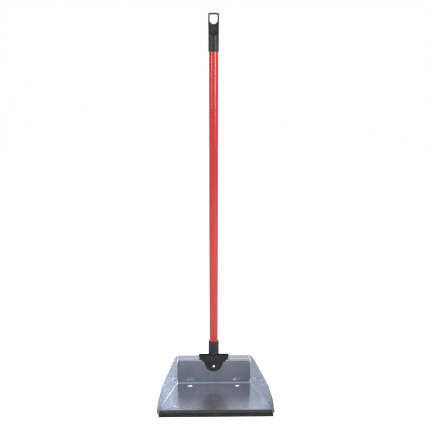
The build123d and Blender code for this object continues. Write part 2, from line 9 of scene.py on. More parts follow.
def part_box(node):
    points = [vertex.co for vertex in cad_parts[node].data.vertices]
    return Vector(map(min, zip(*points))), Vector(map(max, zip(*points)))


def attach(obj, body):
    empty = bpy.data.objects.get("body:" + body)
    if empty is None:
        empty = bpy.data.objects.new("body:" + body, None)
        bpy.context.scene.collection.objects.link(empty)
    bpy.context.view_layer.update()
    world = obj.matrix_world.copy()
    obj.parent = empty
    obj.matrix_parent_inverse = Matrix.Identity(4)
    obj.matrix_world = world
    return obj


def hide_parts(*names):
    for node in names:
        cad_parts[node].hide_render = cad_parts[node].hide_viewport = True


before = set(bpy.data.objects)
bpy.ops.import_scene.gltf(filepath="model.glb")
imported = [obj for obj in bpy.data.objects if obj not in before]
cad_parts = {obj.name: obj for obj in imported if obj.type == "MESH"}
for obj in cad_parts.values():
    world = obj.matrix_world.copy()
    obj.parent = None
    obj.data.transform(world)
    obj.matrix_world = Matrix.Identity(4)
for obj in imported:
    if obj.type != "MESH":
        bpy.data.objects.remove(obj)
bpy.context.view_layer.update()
MM = 0.001

# Camera: where it stands and how it is aimed
CAMERA_PLACE = (-0.0435, -2.0583, 0.6777)
CAMERA_TURN = -1.15       # degrees about Z
CAMERA_PITCH = 6.5        # degrees down
CAMERA_ROLL = -0.1
CAMERA_LENS = 73.9
CAMERA_SHIFT = 0.0035

# Studio
BOX_LIGHTS = (            # azimuth, distance, height, width, tall, power, aimed at
    ("softbox_left", -50.0, 1.9, 1.05, 0.75, 1.15, 12.0, 0.5),
    ("softbox_right", 43.0, 1.9, 1.0, 0.8, 1.2, 22.0, 0.5),
    ("overhead_left", -125.0, 0.7, 1.5, 0.7, 0.7, 9.0, 0.0),
    ("overhead_right", 125.0, 0.7, 1.5, 0.7, 0.7, 9.0, 0.0),
)
ROOM_FRONT, ROOM_BACK = 0.25, 0.42   # brightness of the room behind the camera and beyond
CEILING = 0.8
SCREEN_LEFT, SCREEN_RIGHT = 1.35, 1.65   # of the reflecting screens each side of the camera
SCREEN_TINT = (1.0, 0.93, 0.83)
WHITE = (1.0, 1.0, 1.0)
FLOOR_GLOW = 0.6          # lifts the floor to white where the camera sees it


# Node building ----------------------------------------------------------------

def new_material(name):
    """Empty material: its node tree, its shader and its output already joined."""
    material = bpy.data.materials.new(name)
    material.use_nodes = True
    tree = material.node_tree
    shader = tree.nodes["Principled BSDF"]
    return material, tree, shader


def add(tree, kind, values=None, **settings):
    """Add a node, set its properties and its unlinked inputs."""
    node = tree.nodes.new(kind)
    for key, value in settings.items():
        setattr(node, key, value)
    for key, value in (values or {}).items():
        node.inputs[key].default_value = value
    return node


def join(tree, source, target):
    tree.links.new(source, target)


def group(name, inputs, outputs):
    """Start a shader node group with named inputs and outputs."""
    tree = bpy.data.node_groups.new(name, "ShaderNodeTree")
    for label, value in inputs:
        kind = "NodeSocketColor" if isinstance(value, tuple) else "NodeSocketFloat"
        socket = tree.interface.new_socket(label, in_out="INPUT", socket_type=kind)
        socket.default_value = value
    for label in outputs:
        kind = "NodeSocketColor" if label == "Color" else "NodeSocketFloat"
        tree.interface.new_socket(label, in_out="OUTPUT", socket_type=kind)
    return tree, tree.nodes.new("NodeGroupInput"), tree.nodes.new("NodeGroupOutput")


def place_group(tree, made, **values):
    node = add(tree, "ShaderNodeGroup")
    node.node_tree = made
    for label, value in values.items():
        node.inputs[label.replace("_", " ")].default_value = value
    return node


def ramp(tree, source, low, high, dark=0.0, light=1.0):
    """Stretch source from low..high onto dark..light, clamped."""
    node = add(tree, "ShaderNodeMapRange", {"From Min": low, "From Max": high,
                                            "To Min": dark, "To Max": light})
    join(tree, source, node.inputs["Value"])
    return node.outputs["Result"]


def maths(tree, operation, first, second=None):
    node = add(tree, "ShaderNodeMath", operation=operation)
    for slot, value in enumerate((first, second)):
        if value is None:
            continue
        if isinstance(value, (int, float)):
            node.inputs[slot].default_value = value
        else:
            join(tree, value, node.inputs[slot])
    return node.outputs[0]


def mix_colour(tree, share, first, second, blend="MIX"):
    node = add(tree, "ShaderNodeMix", data_type="RGBA", blend_type=blend)
    for value, socket in ((share, node.inputs["Factor"]), (first, node.inputs["A"]),
                          (second, node.inputs["B"])):
        if isinstance(value, (int, float)):
            socket.default_value = value
        elif isinstance(value, tuple):
            socket.default_value = (*value, 1.0)
        else:
            join(tree, value, socket)
    return node.outputs["Result"]


def bump(tree, height, depth, normal=None):
    """Normal from a height, whose full swing is depth metres."""
    node = add(tree, "ShaderNodeBump", {"Strength": 1.0, "Distance": depth})
    join(tree, height, node.inputs["Height"])
    if normal is not None:
        join(tree, normal, node.inputs["Normal"])
    return node.outputs["Normal"]


# Shared effects ---------------------------------------------------------------

def grain_group():
    """Fine moulded or cast grain: height and a soft patchy mask."""
    tree, given, out = group("grain", [("Scale", 900.0), ("Patch Scale", 22.0)],
                             ["Height", "Patches"])
    where = add(tree, "ShaderNodeTexCoord")
    fine = add(tree, "ShaderNodeTexNoise", {"Detail": 3.0, "Roughness": 0.6})
    join(tree, where.outputs["Object"], fine.inputs["Vector"])
    join(tree, given.outputs["Scale"], fine.inputs["Scale"])
    patch = add(tree, "ShaderNodeTexNoise", {"Detail": 4.0, "Roughness": 0.55})
    join(tree, where.outputs["Object"], patch.inputs["Vector"])
    join(tree, given.outputs["Patch Scale"], patch.inputs["Scale"])
    join(tree, fine.outputs["Fac"], out.inputs["Height"])
    join(tree, ramp(tree, patch.outputs["Fac"], 0.35, 0.65), out.inputs["Patches"])
    return tree


def wear_and_highlight_edges_group():
    """Mask of worn or polished edges, also used to paint a highlight along edges, broken up by
    noise.
    """
    tree, given, out = group("wear_and_edge_highlight", [("Radius", 0.0006), ("Amount", 1.0),
                                           ("Breakup Scale", 140.0)], ["Mask"])
    rounded = add(tree, "ShaderNodeBevel", samples=6)
    join(tree, given.outputs["Radius"], rounded.inputs["Radius"])
    flat = add(tree, "ShaderNodeNewGeometry")
    turn = add(tree, "ShaderNodeVectorMath", operation="DOT_PRODUCT")
    join(tree, rounded.outputs["Normal"], turn.inputs[0])
    join(tree, flat.outputs["Normal"], turn.inputs[1])
    edge = ramp(tree, turn.outputs["Value"], 0.995, 0.86)
    where = add(tree, "ShaderNodeTexCoord")
    noise = add(tree, "ShaderNodeTexNoise", {"Detail": 5.0, "Roughness": 0.6})
    join(tree, where.outputs["Object"], noise.inputs["Vector"])
    join(tree, given.outputs["Breakup Scale"], noise.inputs["Scale"])
    broken = maths(tree, "MULTIPLY", edge, ramp(tree, noise.outputs["Fac"], 0.3, 0.62))
    join(tree, maths(tree, "MULTIPLY", broken, given.outputs["Amount"]), out.inputs["Mask"])
    return tree


def dust_group():
    """Mask of dust that settles on upward faces in patches."""
    tree, given, out = group("dust", [("Amount", 0.5), ("Scale", 60.0)], ["Mask"])
    flat = add(tree, "ShaderNodeNewGeometry")
    parts = add(tree, "ShaderNodeSeparateXYZ")
    join(tree, flat.outputs["Normal"], parts.inputs[0])
    facing = ramp(tree, parts.outputs["Z"], 0.2, 0.95)
    where = add(tree, "ShaderNodeTexCoord")
    noise = add(tree, "ShaderNodeTexNoise", {"Detail": 8.0, "Roughness": 0.7})
    join(tree, where.outputs["Object"], noise.inputs["Vector"])
    join(tree, given.outputs["Scale"], noise.inputs["Scale"])
    patches = maths(tree, "MULTIPLY", facing, ramp(tree, noise.outputs["Fac"], 0.42, 0.7))
    join(tree, maths(tree, "MULTIPLY", patches, given.outputs["Amount"]), out.inputs["Mask"])
    return tree


def line_group():
    """Fine straight lines that run along the axis with the smallest Across value."""
    tree, given, out = group("lines", [("Across X", 1.0), ("Across Y", 1.0), ("Across Z", 1.0),
                                       ("Scale", 100.0)], ["Height"])
    where = add(tree, "ShaderNodeTexCoord")
    stretch = add(tree, "ShaderNodeCombineXYZ")
    for axis in "XYZ":
        join(tree, given.outputs["Across " + axis], stretch.inputs[axis])
    shape = add(tree, "ShaderNodeVectorMath", operation="MULTIPLY")
    join(tree, where.outputs["Object"], shape.inputs[0])
    join(tree, stretch.outputs[0], shape.inputs[1])
    noise = add(tree, "ShaderNodeTexNoise", {"Detail": 5.0, "Roughness": 0.65})
    join(tree, shape.outputs[0], noise.inputs["Vector"])
    join(tree, given.outputs["Scale"], noise.inputs["Scale"])
    join(tree, noise.outputs["Fac"], out.inputs["Height"])
    return tree


# The edge mask is part wear and part painted highlight.
GRAIN, WEAR_AND_EDGE_HIGHLIGHT, DUST, LINES = grain_group(), wear_and_highlight_edges_group(), dust_group(), line_group()


# Finishes ---------------------------------------------------------------------

def galvanised():
    """Zinc-coated sheet: bluish mirror with faint spangle and rolling lines, dulled in front."""
    material, tree, shader = new_material("galvanised_sheet")
    where = add(tree, "ShaderNodeTexCoord")
    warp = add(tree, "ShaderNodeTexNoise", {"Scale": 70.0, "Detail": 3.0})
    join(tree, where.outputs["Object"], warp.inputs["Vector"])
    bent = mix_colour(tree, 0.010, where.outputs["Object"], warp.outputs["Color"], "ADD")
    crystals = add(tree, "ShaderNodeTexVoronoi", {"Scale": 150.0, "Randomness": 1.0})
    join(tree, bent, crystals.inputs["Vector"])
    cell = add(tree, "ShaderNodeSeparateColor")
    join(tree, crystals.outputs["Color"], cell.inputs[0])
    fine = place_group(tree, LINES, Across_X=40.0, Across_Y=0.5, Across_Z=0.5, Scale=22.0)
    broad = place_group(tree, LINES, Across_X=9.0, Across_Y=0.25, Across_Z=0.25, Scale=22.0)
    clouds = add(tree, "ShaderNodeTexNoise", {"Scale": 18.0, "Detail": 6.0, "Roughness": 0.6})
    join(tree, where.outputs["Object"], clouds.inputs["Vector"])
    tone = maths(tree, "ADD", ramp(tree, cell.outputs[0], 0, 1, -0.14, 0.14),
                 ramp(tree, clouds.outputs["Fac"], 0.3, 0.7, -0.10, 0.10))
    tone = maths(tree, "ADD", tone, ramp(tree, broad.outputs["Height"], 0.3, 0.7, -0.35, 0.35))
    colour = mix_colour(tree, maths(tree, "ADD", tone, 0.5), (0.52, 0.565, 0.66),
                        (0.64, 0.685, 0.77))
    wear_and_highlight = place_group(tree, WEAR_AND_EDGE_HIGHLIGHT, Radius=0.0005, Amount=0.8, Breakup_Scale=120.0)
    # Edges lightened: part wear, part painted highlight.
    colour = mix_colour(tree, wear_and_highlight.outputs["Mask"], colour, (0.80, 0.82, 0.85))
    join(tree, colour, shader.inputs["Base Color"])
    rough = maths(tree, "ADD", ramp(tree, cell.outputs[1], 0, 1, 0.145, 0.155),
                  ramp(tree, clouds.outputs["Fac"], 0.3, 0.7, -0.01, 0.015))
    spot = add(tree, "ShaderNodeSeparateXYZ")
    join(tree, where.outputs["Object"], spot.inputs[0])
    swept = maths(tree, "MULTIPLY", ramp(tree, spot.outputs["Y"], BACK_FOLD - SCUFF[0],
                                         BACK_FOLD - SCUFF[1]),
                  ramp(tree, spot.outputs["Z"], FLOOR_TOP + FOLD, FLOOR_TOP + 0.5 * MM))
    rough = maths(tree, "ADD", rough, maths(tree, "MULTIPLY", swept, SCUFF_ROUGH))
    join(tree, rough, shader.inputs["Roughness"])
    shader.inputs["Metallic"].default_value = 0.96
    normal = bump(tree, fine.outputs["Height"], 0.000006)
    normal = bump(tree, cell.outputs[2], 0.0000005, normal)
    join(tree, normal, shader.inputs["Normal"])
    return material


def red_enamel():
    """Glossy red film on the tube, with faint orange peel and rubbed patches."""
    material, tree, shader = new_material("red_enamel")
    grain = place_group(tree, GRAIN, Scale=420.0, Patch_Scale=18.0)
    drawn = place_group(tree, LINES, Across_X=30.0, Across_Y=30.0, Across_Z=0.6, Scale=30.0)
    colour = mix_colour(tree, ramp(tree, grain.outputs["Patches"], 0, 1, 0.0, 0.35),
                        (0.42, 0.014, 0.015), (0.37, 0.010, 0.012))
    colour = mix_colour(tree, ramp(tree, drawn.outputs["Height"], 0.55, 0.8, 0.0, 0.25),
                        colour, (0.50, 0.035, 0.032))
    join(tree, colour, shader.inputs["Base Color"])
    join(tree, ramp(tree, grain.outputs["Patches"], 0, 1, 0.17, 0.24),
         shader.inputs["Roughness"])
    shader.inputs["Coat Weight"].default_value = 0.5
    shader.inputs["Coat Roughness"].default_value = 0.12
    normal = bump(tree, grain.outputs["Height"], 0.000012)
    join(tree, bump(tree, drawn.outputs["Height"], 0.00001, normal), shader.inputs["Normal"])
    return material


def black_plastic(name, dark, light, rough, shine):
    """Moulded black plastic: fine grain, edges lightened as rubbed wear and painted highlight, and
    a trace of dust.
    """
    material, tree, shader = new_material(name)
    grain = place_group(tree, GRAIN, Scale=1500.0, Patch_Scale=45.0)
    wear_and_highlight = place_group(tree, WEAR_AND_EDGE_HIGHLIGHT, Radius=0.0006, Amount=0.55, Breakup_Scale=260.0)
    dust = place_group(tree, DUST, Amount=0.18, Scale=170.0)
    colour = mix_colour(tree, grain.outputs["Patches"], dark, light)
    # Edges lightened: part wear, part painted highlight.
    colour = mix_colour(tree, wear_and_highlight.outputs["Mask"], colour, (0.085, 0.085, 0.09))
    colour = mix_colour(tree, dust.outputs["Mask"], colour, (0.20, 0.19, 0.18))
    join(tree, colour, shader.inputs["Base Color"])
    shader.inputs["Specular IOR Level"].default_value = shine
    rough = maths(tree, "ADD", ramp(tree, grain.outputs["Patches"], 0, 1, rough, rough + 0.12),
                  maths(tree, "MULTIPLY", dust.outputs["Mask"], 0.3))
    join(tree, rough, shader.inputs["Roughness"])
    join(tree, bump(tree, grain.outputs["Height"], 0.00002), shader.inputs["Normal"])
    return material


def lip_rubber(name, dark, light, shine):
    """Extruded black rubber: dull, with die lines along it and a faint bloom."""
    material, tree, shader = new_material(name)
    grain = place_group(tree, GRAIN, Scale=1100.0, Patch_Scale=28.0)
    drawn = place_group(tree, LINES, Across_X=0.6, Across_Y=30.0, Across_Z=30.0, Scale=34.0)
    dust = place_group(tree, DUST, Amount=0.10, Scale=90.0)
    wear_and_highlight = place_group(tree, WEAR_AND_EDGE_HIGHLIGHT, Radius=0.0006, Amount=0.4, Breakup_Scale=90.0)
    colour = mix_colour(tree, grain.outputs["Patches"], dark, light)
    # Edges lightened: part wear, part painted highlight.
    colour = mix_colour(tree, wear_and_highlight.outputs["Mask"], colour, (0.10, 0.10, 0.11))
    colour = mix_colour(tree, dust.outputs["Mask"], colour, (0.21, 0.20, 0.20))
    join(tree, colour, shader.inputs["Base Color"])
    join(tree, ramp(tree, grain.outputs["Patches"], 0, 1, 0.58, 0.74),
         shader.inputs["Roughness"])
    shader.inputs["Specular IOR Level"].default_value = shine
    normal = bump(tree, grain.outputs["Height"], 0.00004)
    join(tree, bump(tree, drawn.outputs["Height"], 0.00004, normal), shader.inputs["Normal"])
    return material


def rivet_steel():
    """Bright plated steel with faint turning marks and dull pits."""
    material, tree, shader = new_material("rivet_steel")
    grain = place_group(tree, GRAIN, Scale=2400.0, Patch_Scale=320.0)
    wear_and_highlight = place_group(tree, WEAR_AND_EDGE_HIGHLIGHT, Radius=0.0003, Amount=0.7, Breakup_Scale=700.0)
    colour = mix_colour(tree, grain.outputs["Patches"], (0.55, 0.55, 0.57), (0.74, 0.74, 0.75))
    # Edges lightened: part wear, part painted highlight.
    colour = mix_colour(tree, wear_and_highlight.outputs["Mask"], colour, (0.86, 0.86, 0.87))
    join(tree, colour, shader.inputs["Base Color"])
    join(tree, ramp(tree, grain.outputs["Patches"], 0, 1, 0.16, 0.30),
         shader.inputs["Roughness"])
    shader.inputs["Metallic"].default_value = 1.0
    join(tree, bump(tree, grain.outputs["Height"], 0.000012), shader.inputs["Normal"])
    return material


def grey_plastic():
    """Plain grey moulded plastic of the tube's foot plug."""
    material, tree, shader = new_material("grey_plastic")
    grain = place_group(tree, GRAIN, Scale=1300.0, Patch_Scale=60.0)
    wear_and_highlight = place_group(tree, WEAR_AND_EDGE_HIGHLIGHT, Radius=0.0005, Amount=0.5, Breakup_Scale=300.0)
    colour = mix_colour(tree, grain.outputs["Patches"], (0.21, 0.21, 0.22), (0.27, 0.27, 0.28))
    # Edges lightened: part wear, part painted highlight.
    colour = mix_colour(tree, wear_and_highlight.outputs["Mask"], colour, (0.42, 0.42, 0.43))
    join(tree, colour, shader.inputs["Base Color"])
    join(tree, ramp(tree, grain.outputs["Patches"], 0, 1, 0.42, 0.56),
         shader.inputs["Roughness"])
    join(tree, bump(tree, grain.outputs["Height"], 0.00002), shader.inputs["Normal"])
    return material


def finish_with(piece, material):
    """Give every face of a piece one material."""
    piece.data.materials.clear()
    piece.data.materials.append(material)


# Studio -----------------------------------------------------------------------

def camera():
    """Long lens a little left of the middle, looking slightly down."""
    lens = bpy.data.cameras.new("camera")
    lens.lens, lens.sensor_width, lens.shift_x = CAMERA_LENS, 36.0, CAMERA_SHIFT
    lens.clip_end = 50.0
    stand = bpy.data.objects.new("camera", lens)
    bpy.context.collection.objects.link(stand)
    stand.location = CAMERA_PLACE
    turn, pitch = radians(CAMERA_TURN), radians(CAMERA_PITCH)
    forward = Vector((-sin(turn) * cos(pitch), cos(turn) * cos(pitch), -sin(pitch)))
    stand.rotation_mode = "QUATERNION"
    roll = Quaternion((0, 0, 1), radians(CAMERA_ROLL))
    stand.rotation_quaternion = forward.to_track_quat("-Z", "Y") @ roll
    bpy.context.scene.camera = stand


def softbox(name, azimuth, distance, height, width, tall, power, target):
    """Rectangular area light that faces the object's middle line at the target height."""
    lamp = bpy.data.lights.new(name, "AREA")
    lamp.shape, lamp.size, lamp.size_y, lamp.energy = "RECTANGLE", width, tall, power
    stand = bpy.data.objects.new(name, lamp)
    bpy.context.collection.objects.link(stand)
    angle = radians(azimuth)
    stand.location = (sin(angle) * distance, -cos(angle) * distance, height)
    aim = Vector((0, 0.05, target)) - Vector(stand.location)
    stand.rotation_mode = "QUATERNION"
    stand.rotation_quaternion = aim.to_track_quat("-Z", "Y")


def floor_white():
    """Pale floor that a little of its own light keeps white out to the horizon."""
    material, tree, shader = new_material("studio_floor")
    shader.inputs["Base Color"].default_value = (0.9, 0.9, 0.9, 1.0)
    shader.inputs["Roughness"].default_value = 0.9
    shader.inputs["Emission Color"].default_value = (1.0, 1.0, 1.0, 1.0)
    seen = add(tree, "ShaderNodeLightPath")
    join(tree, maths(tree, "MULTIPLY", seen.outputs["Is Camera Ray"], FLOOR_GLOW),
         shader.inputs["Emission Strength"])
    return material


def studio():
    """Pale floor, lights, and a room that is dim in front, with a screen on each side."""
    bpy.ops.object.select_all(action="DESELECT")
    bpy.ops.mesh.primitive_plane_add(size=30, location=(0, 0, -0.0002))
    floor = bpy.context.object
    floor.name = "studio_floor"
    finish_with(floor, floor_white())
    for row in BOX_LIGHTS:
        softbox(*row)
    world = bpy.data.worlds.new("studio")
    bpy.context.scene.world = world
    world.use_nodes = True
    tree = world.node_tree
    where = add(tree, "ShaderNodeTexCoord")
    parts = add(tree, "ShaderNodeSeparateXYZ")
    join(tree, where.outputs["Generated"], parts.inputs[0])
    room = maths(tree, "MAXIMUM", ramp(tree, parts.outputs["Y"], -0.6, 0.3, ROOM_FRONT, ROOM_BACK),
                 ramp(tree, parts.outputs["Z"], 0.55, 0.9, 0.0, CEILING))
    screens = maths(tree, "ADD", ramp(tree, parts.outputs["X"], -0.2, -0.4, 0.0, SCREEN_LEFT),
                    ramp(tree, parts.outputs["X"], 0.2, 0.4, 0.0, SCREEN_RIGHT))
    screens = maths(tree, "MULTIPLY", screens, ramp(tree, parts.outputs["Y"], -0.3, -0.6))
    room = maths(tree, "MAXIMUM", room, screens)
    seen = add(tree, "ShaderNodeLightPath")
    glow = tree.nodes["Background"]
    tint = mix_colour(tree, screens, WHITE, SCREEN_TINT)
    room = mix_colour(tree, 1.0, tint, room, "MULTIPLY")
    shade = mix_colour(tree, seen.outputs["Is Camera Ray"], room, WHITE)
    join(tree, shade, glow.inputs["Color"])
    bpy.context.scene.view_settings.view_transform = "Standard"


# Shaping by hand --------------------------------------------------------------

def start(name):
    """Name the primitive just added and go into edit mode on its vertices."""
    piece = bpy.context.object
    piece.name = piece.data.name = name
    bpy.ops.object.mode_set(mode="EDIT")
    bpy.ops.mesh.select_mode(type="VERT")
    return piece


def pick(piece, wanted):
    """Select exactly the vertices whose place passes the test."""
    mesh = bmesh.from_edit_mesh(piece.data)
    for vertex in mesh.verts:
        vertex.select = bool(wanted(vertex.co))
    mesh.select_flush_mode()
    bmesh.update_edit_mesh(piece.data)


def move(step):
    bpy.ops.transform.translate(value=step)


def scale(value, centre):
    bpy.ops.transform.resize(value=value, center_override=centre)


def draw_out(steps):
    """Extrude the selected edges along one step after another."""
    for step in steps:
        bpy.ops.mesh.extrude_edges_move(TRANSFORM_OT_translate={"value": step})


def alone(piece):
    """Select one piece only and make it the active one."""
    bpy.ops.object.select_all(action="DESELECT")
    piece.select_set(True)
    bpy.context.view_layer.objects.active = piece


def done(piece):
    """Leave edit mode."""
    bpy.ops.object.mode_set(mode="OBJECT")
    alone(piece)


def apply(piece, kind, **settings):
    """Add a modifier with its settings and apply it."""
    alone(piece)
    modifier = piece.modifiers.new(kind.lower(), kind)
    for key, value in settings.items():
        setattr(modifier, key, value)
    bpy.ops.object.modifier_apply(modifier=modifier.name)


def smooth(piece, angle):
    """Smooth faces that meet below the angle, with normals led by the large flat ones."""
    alone(piece)
    bpy.ops.object.shade_smooth_by_angle(angle=radians(angle))
    apply(piece, "WEIGHTED_NORMAL", keep_sharp=True, weight=80)


def around(radius, turn, count, start_angle=0.0):
    """Steps (along, across) of an arc that leaves in the direction of start_angle."""
    points = []
    for i in range(count + 1):
        angle = radians(start_angle + turn * i / count)
        points.append((radius * sin(angle), -radius * cos(angle)))
    return [(b[0] - a[0], b[1] - a[1]) for a, b in zip(points, points[1:])]


# Pan --------------------------------------------------------------------------

SHEET = 0.7 * MM
FLOOR_DEPTH = 229.0 * MM
BACK_HALF = 91.7 * MM
FRONT_HALF = 134.3 * MM
FOLD = 2.4 * MM           # inner radius of the folds round the floor
FOLD_STEPS = 5
BEND_HEIGHT = 59.0 * MM   # floor to the bend of the top band
BEND = 3.1 * MM           # radius of that bend, in front
BAND = 14.6 * MM
BAND_LEAN = 45.0
HEM = 5.5 * MM
HEM_GAP = 0.06 * MM
SEAM = 0.4 * MM
RIM_EASE = 0.12 * MM      # bevel on the cut edges of sheet and tube
SWELL, SWELL_LENGTH = 0.4 * MM, 75.0 * MM    # unevenness of the sheet, and its spread
NOTCH_HALF = 27.0 * MM
FLAP_LOW, FLAP_HIGH = 7.0 * MM, 52.0 * MM
FLAP_CORNER = 5.0 * MM
FLAP_REACH = 20.0 * MM
EAR = 10.3 * MM
SIDE_TOP = ((-10.5 * MM, 69.3 * MM), (22.0 * MM, 72.6 * MM), (59.0 * MM, 68.4 * MM))
SIDE_END = (175.0 * MM, 46.5 * MM)
NOSE_BULGE = 9.0 * MM
NOSE_LEAST = 2.9 * MM
FOOT_X, FOOT_BACK = 59.0 * MM, 28.5 * MM
FOOT_DEPTH = 3.0 * MM
FOOT_SPHERE = 13.0 * MM
FOOT_RIM = (FOOT_SPHERE ** 2 - (FOOT_SPHERE - FOOT_DEPTH) ** 2) ** 0.5
FOOT_PATCH = 1.5 * FOOT_RIM
FOOT_RINGS = (1.3, 1.19, 1.1, 1.03, 0.97, 0.9, 0.8, 0.67, 0.52, 0.36, 0.19)
SCUFF = (40.0 * MM, 150.0 * MM)  # from the back fold: where sweeping starts to dull the floor
SCUFF_ROUGH = 0.09        # and where it is dullest, by this much

FRONT_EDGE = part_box("pan_sheet")[0].y
BACK_FOLD = FRONT_EDGE + FLOOR_DEPTH
FLOOR_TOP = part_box("pan_sheet")[0].z + SHEET + FOOT_DEPTH
SPLAY = atan((FRONT_HALF - BACK_HALF) / FLOOR_DEPTH)
SIDE_LENGTH = FLOOR_DEPTH / cos(SPLAY)
ROWS = 48                 # of the floor, closer together towards the mouth
NEAR = 1e-5               # places this close are the same


def spread(low, high, count):
    return [low + (high - low) * i / count for i in range(count + 1)]


def row_share(row):
    """Where a row of the floor lies, from 0 at the back fold to 1 at the front edge."""
    return 1 - (1 - row / ROWS) ** 1.5


def circle_height(points, x):
    """Height at x of the upper half of the circle through three points."""
    (ax, ay), (bx, by), (cx, cy) = points
    d = 2 * (ax * (by - cy) + bx * (cy - ay) + cx * (ay - by))
    sa, sb, sc = ax * ax + ay * ay, bx * bx + by * by, cx * cx + cy * cy
    ox = (sa * (by - cy) + sb * (cy - ay) + sc * (ay - by)) / d
    oy = (sa * (cx - bx) + sb * (ax - cx) + sc * (bx - ax)) / d
    square = (ax - ox) ** 2 + (ay - oy) ** 2 - (x - ox) ** 2
    return oy + max(square, 0.0) ** 0.5


def side_height(x):
    """Top edge of a side wall against the distance from the back fold along it."""
    if x <= SIDE_TOP[2][0]:
        return circle_height(SIDE_TOP, x)
    if x <= SIDE_END[0]:
        share = (x - SIDE_TOP[2][0]) / (SIDE_END[0] - SIDE_TOP[2][0])
        return SIDE_TOP[2][1] + share * (SIDE_END[1] - SIDE_TOP[2][1])
    nose = (SIDE_LENGTH, -SHEET)
    run, drop = nose[0] - SIDE_END[0], nose[1] - SIDE_END[1]
    length = (run ** 2 + drop ** 2) ** 0.5
    bulge = ((SIDE_END[0] + nose[0]) / 2 - drop / length * NOSE_BULGE,
             (SIDE_END[1] + nose[1]) / 2 + run / length * NOSE_BULGE)
    return max(circle_height((SIDE_END, bulge, nose), x), NOSE_LEAST)


def pan_floor():
    """Flat floor between the folds, its columns set so that two lie at the notch's sides."""
    notch = NOTCH_HALF / (BACK_HALF - FOLD)
    shares = spread(-1, -notch, 15) + spread(-notch, notch, 14)[1:] + spread(notch, 1, 15)[1:]
    columns = len(shares) - 1
    bpy.ops.object.select_all(action="DESELECT")
    bpy.ops.mesh.primitive_grid_add(x_subdivisions=columns, y_subdivisions=ROWS, size=2)
    floor = start("pan")
    for i, share in enumerate(shares):
        at = 2 * i / columns - 1
        pick(floor, lambda co: abs(co.x - at) < NEAR and co.z < 0.5)
        move((share - at, 0, 1))
    for row in range(ROWS + 1):
        at = 1 - 2 * row / ROWS
        depth = FOLD + row_share(row) * (FLOOR_DEPTH - FOLD)
        half = BACK_HALF + depth * tan(SPLAY) - FOLD / cos(SPLAY)
        pick(floor, lambda co: abs(co.y - at) < NEAR and co.z > 0.5)
        scale((half, 1, 1), (0, at, 0))
        move((0, -depth - at, -1))
    return floor


def pan_back(sheet):
    """Back wall drawn up from the floor, with the band leaning back and its rolled hem."""
    pick(sheet, lambda co: co.y > -FOLD - NEAR and abs(co.z) < NEAR)
    draw_out([(0, a, b) for a, b in around(FOLD, 90, FOLD_STEPS)])
    heights = [FOLD] + spread(FLAP_LOW, FLAP_HIGH, 8)
    heights += [BEND_HEIGHT - FOLD, BEND_HEIGHT - BEND * tan(radians(BAND_LEAN / 2))]
    draw_out([(0, 0, b - a) for a, b in zip(heights, heights[1:])])
    draw_out([(0, b, a) for a, b in around(BEND, BAND_LEAN, 3)])
    lean = radians(BAND_LEAN)
    up = (sin(lean), cos(lean))
    straight = BAND - BEND * tan(lean / 2) - SHEET - HEM_GAP
    draw_out([(0, up[0] * stop, up[1] * stop) for stop in (straight - HEM, HEM / 2, HEM / 2)])
    draw_out([(0, up[0] * a - up[1] * b, up[1] * a + up[0] * b)
              for a, b in around(HEM_GAP, 180, 4)])
    draw_out([(0, -up[0] * HEM / 2, -up[1] * HEM / 2)] * 2)


class Wall:
    """Directions of a side wall: hand is 1 on the right and -1 on the left."""

    def __init__(self, hand):
        self.hand = hand
        self.out = Vector((cos(SPLAY) * hand, sin(SPLAY), 0))
        self.ahead = Vector((sin(SPLAY) * hand, -cos(SPLAY), 0))
        self.corner = Vector((BACK_HALF * hand, 0, 0))

    def along(self, co):
        return (co - self.corner).dot(self.ahead)

    def outward(self, co):
        return (co - self.corner).dot(self.out)

    def holds(self, co, at=None, above=-1.0):
        """Whether a point is on the wall's face, at a distance along it and above a height."""
        return (abs(self.outward(co)) < NEAR and co.z > above - NEAR
                and (at is None or abs(self.along(co) - at) < NEAR))


def places(piece, wanted):
    """Places of the vertices that pass the test."""
    return [v.co.copy() for v in bmesh.from_edit_mesh(piece.data).verts if wanted(v.co)]


def pan_side(sheet, wall):
    """Side wall drawn up from the floor's edge to its curved top edge."""
    pick(sheet, lambda co: abs(wall.outward(co) + FOLD) < NEAR and abs(co.z) < NEAR)
    draw_out([tuple(wall.out * a + Vector((0, 0, b))) for a, b in around(FOLD, 90, FOLD_STEPS)])
    feet = places(sheet, lambda co: wall.holds(co) and abs(co.z - FOLD) < NEAR)
    ear_share = (BEND_HEIGHT - FOLD) / (side_height(0) - FOLD)
    shares = spread(0, ear_share, 10) + spread(ear_share, 1, 3)[1:]
    draw_out([(0, 0, b - a) for a, b in zip(shares, shares[1:])])
    for foot in feet:
        at = wall.along(foot)
        pick(sheet, lambda co: wall.holds(co, at, FOLD + 2 * NEAR))
        scale((1, 1, side_height(at) - FOLD), (0, 0, FOLD))
    end = min(wall.along(foot) for foot in feet)
    pick(sheet, lambda co: wall.holds(co, end, FOLD))
    draw_out([tuple(wall.ahead * (SEAM - end))])


def pan_ear(sheet, wall):
    """Ear at the back of a side wall, which closes the end of the band."""
    levels = sorted(co.z for co in places(
        sheet, lambda co: wall.holds(co, SEAM, BEND_HEIGHT - SEAM)))
    reach = SEAM
    for stop in (-EAR * 0.4, -EAR * 0.75, -EAR):
        pick(sheet, lambda co: wall.holds(co, reach, BEND_HEIGHT - SEAM))
        draw_out([tuple(wall.ahead * (stop - reach))])
        low, high = BEND_HEIGHT - stop, side_height(stop)
        for i in reversed(range(len(levels))):
            target = low + (high - low) * i / (len(levels) - 1)
            pick(sheet, lambda co: wall.holds(co, stop) and abs(co.z - levels[i]) < NEAR)
            move((0, 0, target - levels[i]))
            levels[i] = target
        reach = stop


